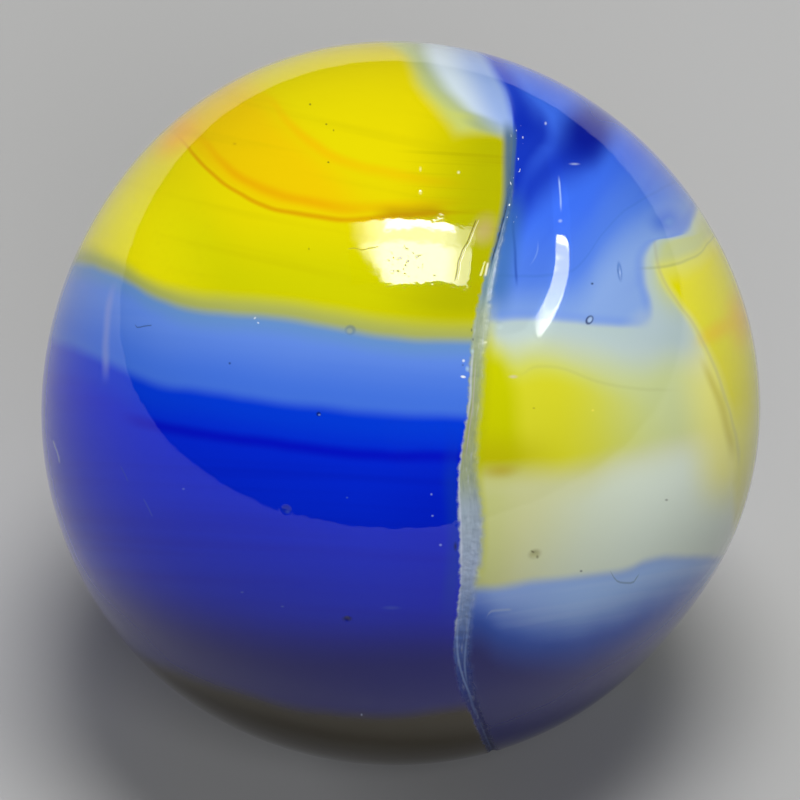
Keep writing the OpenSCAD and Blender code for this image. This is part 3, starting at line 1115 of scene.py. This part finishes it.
@dataclass(frozen=True)
class WearAndPaintedLight:
    """Small flaws of the glass: specks under the surface, scratches, cracks and pits, with painted
    shade in the cracks and pits and painted glints along them.

    A row holds a speck's colour, its place and its reach to the right and up, its share
    and, where it has them, the share of its core and its turn in degrees.
    """

    speck_rows: tuple[tuple[str | float, ...], ...] = (
        ("#303818", -24.6, 82.4, 0.5, 0.5, 0.8), ("#303818", -20.1, 76.8, 0.5, 0.4, 0.8),
        ("#303818", -18.1, 75.1, 0.4, 0.5, 0.6), ("#303818", -19.5, 66.2, 0.5, 0.4, 0.9),
        ("#C09810", -45.4, 71.5, 0.8, 0.6, 0.7), ("#303818", -24.8, 42.3, 0.4, 0.5, 0.5),
        ("#48688C", -13.4, 20.0, 1.9, 1.8, 0.45, 0.5), ("#A8B494", -13.6, 19.8, 1.2, 1.1, 0.5, 0.3),
        ("#182C98", -31.0, -29.2, 1.9, 1.7, 0.5, 0.4), ("#5068C8", -30.6, -29.8, 1.0, 0.9, 0.4),
        ("#000848", -14.3, -59.2, 1.9, 1.1, 0.8, 0.2),
        ("#1C3064", 52.2, 22.8, 1.2, 1.7, 0.85, 0.6, -35),
        ("#A8C4F0", 52.3, 22.9, 0.8, 1.2, 0.9, 0.4, -35), ("#10204C", 53.0, 32.8, 0.6, 0.5, 0.9),
        ("#4C78C8", 60.6, 36.2, 0.9, 3.4, 0.7, 0.5, 6), ("#B0C8F4", 60.7, 35.8, 0.45, 2.6, 0.6, 0.0, 6),
        ("#8C8848", 37.2, -41.4, 2.6, 1.8, 0.5, 0.2, 20),
        ("#54501C", 36.6, -40.8, 0.9, 0.5, 0.7, 0.0, -30), ("#54501C", 37.9, -42.2, 0.6, 0.8, 0.6),
        ("#586470", 50.0, -46.2, 0.6, 0.5, 0.8), ("#60685C", 73.6, -26.7, 0.7, 0.5, 0.7),
        ("#F0E860", 53.1, -2.0, 0.6, 0.5, 0.9), ("#8C8C20", 36.9, -1.4, 0.6, 0.4, 0.6),
        ("#F4FAFC", 17.5, 7.2, 1.0, 0.5, 0.9, 0.3, -10), ("#F4FAFC", 17.6, 11.6, 0.6, 0.6, 0.8),
        ("#B4D4E0", 18.6, 9.4, 0.8, 1.2, 0.6), ("#B4D4E0", 20.0, 14.2, 0.7, 1.0, 0.6),
        ("#203048", 19.8, 20.0, 0.4, 0.8, 0.6), ("#203048", 20.2, 17.4, 0.4, 0.7, 0.6),
        ("#2C4068", 17.4, 10.4, 0.5, 0.5, 0.5), ("#0C1C48", 15.4, -39.3, 0.8, 1.8, 0.8),
        ("#E4ECF8", -39.6, 23.3, 0.6, 0.35, 0.8, 0.0, 40),
        ("#E4ECF8", -38.7, 22.0, 0.5, 0.35, 0.8, 0.0, -30), ("#081C60", -46.5, 10.9, 0.5, 0.5, 0.8),
        ("#081C60", -22.1, -3.0, 0.9, 0.9, 0.8, 0.3), ("#88A8F0", -21.9, -3.2, 0.5, 0.4, 0.7),
        ("#88A0E8", 8.8, -25.0, 0.45, 0.45, 0.9), ("#88A0E8", 9.1, -30.9, 0.5, 0.4, 0.9),
        ("#98ACEC", 11.3, -38.9, 0.6, 0.5, 0.9), ("#6884DC", -59.3, -23.6, 0.6, 0.45, 0.7),
        ("#4468D0", -14.3, -25.9, 0.5, 0.4, 0.7), ("#5070D0", -43.2, -52.0, 0.7, 0.4, 0.6),
        ("#5070D0", -32.1, -55.9, 0.7, 0.35, 0.6), ("#C8D0F8", -10.4, -86.0, 0.4, 0.5, 0.8),
        ("#4060C8", -2.2, -56.2, 3.6, 0.8, 0.4), ("#DCE8FC", 40.4, 77.2, 0.5, 0.7, 0.6),
        ("#C8D8F8", 48.3, 65.9, 2.0, 0.5, 0.5), ("#F4F0A0", 5.8, 64.3, 0.5, 1.0, 0.6),
        ("#F4F0A0", 5.8, 57.9, 0.7, 1.0, 0.6), ("#F4F4C0", 16.3, 63.4, 0.6, 0.6, 0.8))

    @staticmethod
    def speck(colour: str, x: float, y: float, wide: float, high: float, share: float,
              core: float = 0.0, turn: float = 0.0) -> Spot:
        """One speck, from its row."""
        return Spot(colour, (x, y), (wide, high), turn, share, core)

    def specks(self) -> list[Mark]:
        """Specks and bubbles that lie in the glass and leave its surface whole."""
        return [self.speck(*row) for row in self.speck_rows]

    def scratches(self) -> list[Mark]:
        """Faint scratches that only show by their colour."""
        return [
            Thread("#28406C", ((-73, 21.9), (-72, 20.8), (-70, 21.2), (-67.9, 21.4)), 0.3, 0.7,
                fade=0.6),
            Thread("#C0C8E8", ((-96, -10), (-95.3, -12.2), (-94.6, -14.0), (-94, -17)), 0.4, 0.6,
                fade=1),
            Thread("#2C4CC0", ((-77, -17), (-75.4, -20), (-74.6, -22)), 0.4, 0.4, fade=1),
            Thread("#4060C8", ((-70.6, -26), (-69, -29), (-67.8, -31.6)), 0.4, 0.4, fade=1),
            Thread("#6C84A4", ((57.8, -45.9), (60.4, -49.3), (63.8, -49.6), (66.4, -46.6)), 0.5, 0.6,
                fade=1),
            Thread("#B4C4E0", ((23.6, -60), (25, -57.3), (28, -56.9), (31.4, -56.7)), 0.6, 0.4,
                fade=1.5),
        ]

    def cuts_shade_and_glints(self) -> list[Mark]:
        """The cracks and the larger pits, cut into the shine over the yellow glass: their dark colour
        is painted shade and their bright edges are painted glints.
        """
        places = ((-0.4, 36.0, 0.5), (1.5, 35.3, 0.35), (9.7, 34.9, 0.4), (9.0, 32.8, 0.4))
        return [
            # Painted shade: the dark lines of the two cracks; the cracks themselves are cut into the
            # relief.
            Thread("#8C8450", ((-14.5, 42.2), (-12.2, 42.5), (-10.2, 41.9), (-8.2, 42.5), (-6.8, 42.6),
                (-5.2, 43.3)), 0.22, 0.5, fade=1.5),
            Thread("#5C5420", ((21.2, 50.6), (20.2, 48), (18.6, 44), (17.4, 42), (17.0, 40.7),
                (16.2, 38.6), (16.0, 36.5), (15.3, 33.4)), 0.26, 0.8, fade=0.8),
            # Painted glint: the bright edge of the large crack.
            Thread("#FCF8D8", ((22.0, 50.6), (20.8, 48), (19.2, 44), (18, 42), (17.6, 40.7),
                (16.8, 38.6), (16.6, 36.5), (15.9, 33.4)), 0.2, 0.5, fade=0.8),
            # Painted glint: short bright lines beside the lip, at the right end of the highlight.
            Thread("#FCFCE0", ((24.4, 38.8), (23.9, 36.6), (23.5, 34.5)), 0.5, 0.8, fade=0.8),
            # Painted shade: the dark colour of the larger pits, which are cut into the relief.
            *(Spot("#6C6C38", (x, y), (r, r), share=0.7) for x, y, r in places)]

    def shaded_pits(self) -> Mark:
        """Where a fine scatter of pits lies; their dark colour is painted shade."""
        return Spot("#5C5828", (1.6, 38.4), (6.5, 5.5), 20, 0.9, 0.4)


@dataclass(frozen=True)
class SwirlGlass:
    """Glossy opaque swirled glass with a frosted crease.

    Lengths are in millimetres, turns in degrees round the ball and rates in changes a
    millimetre. A pair holds where something sets in and where it is full.
    """

    fold: Fold
    left: LeftGlass = LeftGlass()
    right: RightGlass = RightGlass()
    seam: SeamGlass = SeamGlass()
    wear_and_painted_light: WearAndPaintedLight = WearAndPaintedLight()
    gloss: float = 0.03
    frost: float = 0.45
    haze: float = 0.16
    index: float = 1.52
    # How far the streams wander, in hundredths of the radius, and how they turn at the back
    wander: float = 1.0
    wander_rate: float = 0.5
    back_twist: float = 1.3
    # The seam of the two gobs: sharp in front and soft further round
    sharp_turns: Point = (60, 50)
    sharp_seam: Point = (-0.03, 0.03)
    soft_seam: Point = (-0.2, 0.16)
    # The frosted band of the crease, with ragged edges, and the turns of the rows it follows
    band_left: Point = (-0.03, 0.05)
    band_right: Point = (0.13, -0.1)
    band_foot: Point = (-106, -98)
    band_head: Point = (46, 34)
    band_turns: Point = (-118, 118)
    rag: float = 0.16
    rag_rate: float = 6.0
    # The band's streaks: their rates along the fold, then levels, share and colour
    streak_rates: Triple = (0.14, 0.31, 1.0)
    streaks: tuple[tuple[Point, float, str], ...] = (
        ((0.5, 0.3), 0.2, "#60708C"), ((0.52, 0.72), 0.3, "#C0C8DC"))
    # Painted glints: pale sparkles in a strip beside the crease
    glint_rates: Triple = (0.11, 0.62, 1.0)
    glint_levels: Point = (0.68, 0.72)
    glint_gap: float = 0.1
    glint_half_w: float = 0.13
    glint_edge: Point = (0.05, -0.05)
    glint_foot: Point = (27, 33)
    glint_head: Point = (56, 50)
    glint_tint: str = "#DCE8F4"
    # Fine relief, as rates and heights: all over the ball, and on the hammered patch
    ripple: Point = (2.4, 0.0024)
    hammered: tuple[Point, ...] = ((1.1, 0.009), (7.0, 0.0012))
    hammered_patch: Spot = Spot("", (12, 38), (30, 26), core=0.5)
    cut_depth: float = 0.005
    pit_depth: float = 0.01
    pit_rate: float = 10.0
    pit_levels: Point = (0.65, 0.7)
    dull_patches: tuple[Spot, Spot] = (
        Spot("", (38.6, 24), (5, 8), 20), Spot("", (23.5, 47), (6, 6), share=0.8))

    def places(self, recipe: Recipe) -> tuple[Field, Field, Socket]:
        """Find the place on the face of each point of the glass.

        Args:
            recipe: the recipe of the material.

        Returns:
            The true places, the places as the streams wander, and the plain vector.
        """
        spot = recipe.node("TexCoord").outputs["Object"]
        scale = HUNDREDTHS / RADIUS
        parts = []
        for axis in (RIGHT, UP, OUT):
            dot = recipe.vector("DOT_PRODUCT", spot, tuple(axis * scale))
            parts.append(Amount(recipe, dot.outputs["Value"]))
        x, y, z = parts
        drift = recipe.node("TexNoise", None,
                            {"Vector": spot, "Scale": self.wander_rate / MM, "Detail": 2.0})
        apart = recipe.node("SeparateColor", None, {0: drift.outputs["Color"]})
        dx, dy = ((Amount(recipe, apart.outputs[i]) - NOISE_MIDDLE) * (2 * self.wander)
                  for i in (0, 1))
        behind = (z * (-1 / HUNDREDTHS)).at_least(0.0)
        angle = behind * behind * self.back_twist
        cos, sin = recipe.maths("COSINE", angle), recipe.maths("SINE", angle)
        back = behind * -HUNDREDTHS
        return (Field(recipe, x, y, back),
                Field(recipe, x * cos - y * sin + dx, x * sin + y * cos + dy, back), spot)

    def frosted(self, recipe: Recipe, along: Field) -> Socket:
        """The colour of the crease, streaked along the fold."""
        drawn = recipe.vector("MULTIPLY", along.vector, self.streak_rates).outputs[0]
        grain = recipe.grain(drawn, layers=3.0)
        colour = self.seam.colour(recipe, along.y)
        for levels, share, tint in self.streaks:
            colour = recipe.mix(grain.rise(*levels) * share, colour, tint)
        return lay(self.seam.across(), along, colour)

    def band(self, recipe: Recipe, gap: Amount, along: Field, spot: Socket) -> Amount:
        """Where the frosted band of the crease lies.

        Args:
            recipe: the recipe of the material.
            gap: the distance across the fold.
            along: the places along the fold.
            spot: the plain vector.

        Returns:
            1 within the band and 0 beside it.
        """
        turn = along.y
        rows = [row for row in self.fold.rows[::self.fold.steps] if within(row[0], self.band_turns)]
        widths = tuple((row[0] / along.span + 0.5, row[2]) for row in rows)
        half = recipe.curve(along.share[1], widths) * (self.fold.crease_w / 2)
        rag = (recipe.grain(spot, self.rag_rate / MM, layers=3.0) - NOISE_MIDDLE) * self.rag
        made = ((gap + half + rag).rise(*self.band_left)
                * (gap - half + rag).rise(*self.band_right))
        return made * turn.rise(*self.band_foot) * turn.rise(*self.band_head)

    def painted_glints(self, recipe: Recipe, gap: Amount, along: Field) -> Amount:
        """Where the painted glints beside the crease lie."""
        fine = recipe.vector("MULTIPLY", along.vector, self.glint_rates).outputs[0]
        grain = recipe.grain(fine)
        strip = (abs(gap - self.glint_gap) - self.glint_half_w).rise(*self.glint_edge)
        strip = strip * along.y.rise(*self.glint_foot) * along.y.rise(*self.glint_head)
        return grain.rise(*self.glint_levels) * strip

    def paint(self, recipe: Recipe) -> tuple[Socket, Amount, Amount]:
        """Paint the glass.

        Args:
            recipe: the recipe of the material.

        Returns:
            Its colour, its roughness and the height of its fine relief in millimetres.
        """
        true, loose, spot = self.places(recipe)
        gap, turn = recipe.attribute("fold_gap"), recipe.attribute("fold_turn")
        along = Field(recipe, gap * HUNDREDTHS, turn)
        left = lay(self.left.marks(), loose, self.left.base)
        right = lay(self.right.marks(), loose, self.right.base)
        sharp = turn.rise(*self.sharp_turns)
        side = gap.rise(*self.sharp_seam) * sharp + gap.rise(*self.soft_seam) * (1 - sharp)
        colour = lay(self.seam.beside(), along, recipe.mix(side, left, right))
        band = self.band(recipe, gap, along, spot)
        colour = recipe.mix(band, colour, self.frosted(recipe, along))
        # Painted glints: pale sparkles beside the crease.
        colour = recipe.mix(self.painted_glints(recipe, gap, along), colour, self.glint_tint)
        colour = lay(self.wear_and_painted_light.specks() + self.wear_and_painted_light.scratches(), true, colour)
        rate, tall = self.ripple
        height = recipe.grain(spot, rate / MM) * tall
        patch = self.hammered_patch.mask(true)
        for rate, tall in self.hammered:
            height = height + recipe.grain(spot, rate / MM) * patch * tall
        shaded_pits = self.wear_and_painted_light.shaded_pits()
        pits = recipe.grain(spot, self.pit_rate / MM).rise(*self.pit_levels) * shaded_pits.mask(true)
        # Painted shade: the pits' dark colour, where they lose the shine; the pits are also cut into
        # the relief below.
        colour = recipe.mix(pits, colour, shaded_pits.colour)
        height = height - pits * self.pit_depth
        # Cracks and pits cut into the relief, with painted shade in them and painted glints beside
        # them.
        for mark in self.wear_and_painted_light.cuts_shade_and_glints():
            mask = mark.mask(true)
            colour = recipe.mix(mask, colour, mark.colour)
            height = height - mask * self.cut_depth
        haze, worn = (patch.mask(true) for patch in self.dull_patches)
        rough = band * (self.frost - self.gloss) + (haze + worn) * self.haze + self.gloss
        return colour, rough, height

    def surface(self, recipe: Recipe) -> Socket:
        """Add the nodes of the glass, and give their shader's socket."""
        colour, rough, height = self.paint(recipe)
        bump = recipe.node("Bump", None, {"Strength": 1.0, "Distance": MM, "Height": height})
        shader = recipe.node("BsdfPrincipled", None,
                             {"Base Color": colour, "Roughness": rough, "IOR": self.index,
                              "Normal": bump.outputs[0]})
        log.info("swirl glass: %d nodes", len(recipe.tree.nodes))
        return shader.outputs[0]


@dataclass
class Marble:
    """The glass marble: one ball of swirled glass."""

    fold: Fold = field(default_factory=Fold)
    bubbles: OpenBubbles = field(default_factory=OpenBubbles)
    skin: BallSkin = field(default_factory=BallSkin)
    name: str = "marble_glass"

    def build(self) -> bpy.types.Object:
        """Build the ball's mesh."""
        return BallMesh(self.fold, self.bubbles, self.skin).build(self.name)

    def dress(self, ball: bpy.types.Object) -> None:
        """Give the ball its finish and its place in the frame."""
        glass = SwirlGlass(self.fold)
        ball.data.materials.append(new_material("swirl_glass_finish", glass.surface))
        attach(ball, "root")
        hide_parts("marble")


# ---- The studio ----


@dataclass
class Softbox:
    """The lamp overhead: a glowing sheet that fades on its left, with a hot strip behind.

    Lengths are in metres, from the point straight above the marble.
    """

    height: float = 3.0
    left: float = -0.80
    right: float = 1.17
    front: float = -0.60
    back: float = 0.58
    fade: float = 0.6
    # The corner at the front left is cut off aslant: its slope, its place and its fade
    lean: float = 0.667
    lean_start: float = -0.74
    lean_fade: float = 0.3
    strip_front: float = 0.40
    strip_left: float = -0.24
    strip_right: float = 0.86
    strip_soft: float = 0.03
    # The sheet dims ahead of the strip and towards the right: from where to where, and by
    # what share
    dim_ahead: Triple = (0.32, 0.2, 0.42)
    dim_right: Triple = (0.5, 0.1, 0.55)
    glow: float = 33.0
    body_share: float = 0.55
    strip_share: float = 0.45
    tint: str = "#FFFDF6"

    def surface(self, recipe: Recipe) -> Socket:
        """Add the nodes of the sheet's glow, and give their shader's socket."""
        spot = recipe.node("TexCoord").outputs["Object"]
        parts = recipe.node("SeparateXYZ", None, {0: spot}).outputs
        x, y = Amount(recipe, parts[0]), Amount(recipe, parts[1])
        soft = self.strip_soft
        body = x.rise(self.left, self.left + self.fade)
        leaning = x + y * self.lean
        body = body * leaning.rise(self.lean_start, self.lean_start + self.lean_fade)
        for place, end, (start, stop, share) in ((y, self.strip_front, self.dim_ahead),
                                                 (x, self.right, self.dim_right)):
            body = body * (1 - place.rise(end - start, end - stop) * share)
        strip = y.rise(self.strip_front - soft, self.strip_front + soft)
        strip = strip * x.rise(self.strip_left - soft, self.strip_left + soft)
        strip = strip * x.rise(self.strip_right + soft, self.strip_right - soft)
        amount = body * self.body_share + strip * self.strip_share
        glow = recipe.node("Emission", None,
                           {"Color": recipe.mix(amount, "#000000", self.tint),
                            "Strength": self.glow})
        return glow.outputs[0]

    def corners(self) -> list[Triple]:
        """The sheet's corners."""
        return [(self.left, self.front, 0), (self.right, self.front, 0),
                (self.right, self.back, 0), (self.left, self.back, 0)]


@dataclass
class Studio:
    """A plain pale floor, soft light from above and the camera.

    Lengths are in metres and brightness is in shares of white.
    """

    floor_side: float = 8.0
    floor_tint: str = "#A6A7AA"
    floor_bounce: str = "#303032"
    world_level: float = 0.03
    # How far each fill lamp stands to the right, up and out on the face, and its watts
    fills: tuple[tuple[float, float, float, float], ...] = (
        (0.2, -0.15, 1.0, 17.0), (-1.0, 0.5, -0.15, 15.5), (1.0, -0.1, -0.1, 12.0))
    fill_size: float = 1.2
    fill_gap: float = 2.0
    camera_gap: float = 0.5
    camera_near: float = 0.01
    image_px: float = 800.0
    ball_px: float = 359.5
    aim_right_px: float = 0.7
    aim_up_px: float = 3.0
    sensor: float = 36.0
    softbox: Softbox = field(default_factory=Softbox)

    def add_sheet(self, name: str, corners: list[Triple], height: float, surface: Surface) -> None:
        """Add a flat level sheet that isn't part of the marble."""
        mesh = bpy.data.meshes.new(name)
        mesh.from_pydata(corners, [], [(0, 1, 2, 3)])
        mesh.materials.append(new_material(name + "_finish", surface))
        made = put(name, mesh)
        made.location = (0, 0, height)

    def floor_surface(self, recipe: Recipe) -> Socket:
        """A floor as pale where glass mirrors it as where it is seen, with little bounce."""
        path = recipe.node("LightPath").outputs
        camera, glossy, through = (Amount(recipe, path[f"Is {name} Ray"])
                                   for name in ("Camera", "Glossy", "Transmission"))
        seen = camera.at_least(glossy).at_least(through)
        colour = recipe.mix(seen, self.floor_bounce, self.floor_tint)
        return recipe.node("BsdfDiffuse", None, {"Color": colour}).outputs[0]

    def add_fills(self) -> None:
        """Add broad weak lamps, in front and at the sides, that leave no shine."""
        for right, up, ahead, energy in self.fills:
            data = bpy.data.lights.new("fill", "AREA")
            data.shape = "DISK"
            data.size = self.fill_size
            data.energy = energy
            lamp = put("fill", data)
            towards = (OUT * ahead + RIGHT * right + UP * up).normalized()
            lamp.location = towards * self.fill_gap
            lamp.rotation_mode = "QUATERNION"
            lamp.rotation_quaternion = towards.to_track_quat("Z", "Y")
            lamp.visible_glossy = False

    def add_world(self) -> None:
        """Light everything faintly and evenly."""
        world = bpy.data.worlds.new("studio")
        world.use_nodes = True
        recipe = Recipe(world.node_tree)
        glow = recipe.node("Background", None,
                           {"Color": (1.0, 1.0, 1.0, 1.0), "Strength": self.world_level})
        recipe.node("OutputWorld", None, {"Surface": glow.outputs[0]})
        bpy.context.scene.world = world

    def add_camera(self) -> None:
        """Add the camera, square to the face, so that the ball fills the picture."""
        tangent = RADIUS / math.sqrt(self.camera_gap ** 2 - RADIUS ** 2)
        px = RADIUS / self.ball_px
        data = bpy.data.cameras.new("camera")
        data.sensor_width = self.sensor
        data.lens = self.ball_px / self.image_px * self.sensor / tangent
        data.clip_start = self.camera_near
        camera = put("camera", data)
        aim = RIGHT * (self.aim_right_px * px) + UP * (self.aim_up_px * px)
        camera.matrix_world = (Matrix.Translation(aim + OUT * self.camera_gap)
                               @ Matrix((RIGHT, UP, OUT)).transposed().to_4x4())
        bpy.context.scene.camera = camera

    def build(self) -> None:
        """Set up the floor, the light and the camera."""
        half = self.floor_side / 2
        square = [(-half, -half, 0), (half, -half, 0), (half, half, 0), (-half, half, 0)]
        self.add_camera()
        self.add_sheet("floor", square, -RADIUS, self.floor_surface)
        box = self.softbox
        self.add_sheet("softbox", box.corners(), box.height, box.surface)
        self.add_fills()
        self.add_world()
        bpy.context.scene.view_settings.view_transform = "Standard"


def main() -> None:
    """Build the studio and the marble."""
    logging.basicConfig(level=logging.INFO, format="%(name)s: %(message)s")
    Studio().build()
    marble = Marble()
    ball = marble.build()
    marble.dress(ball)
    log.info("%s is dressed", ball.name)


if __name__ == "__main__":
    main()
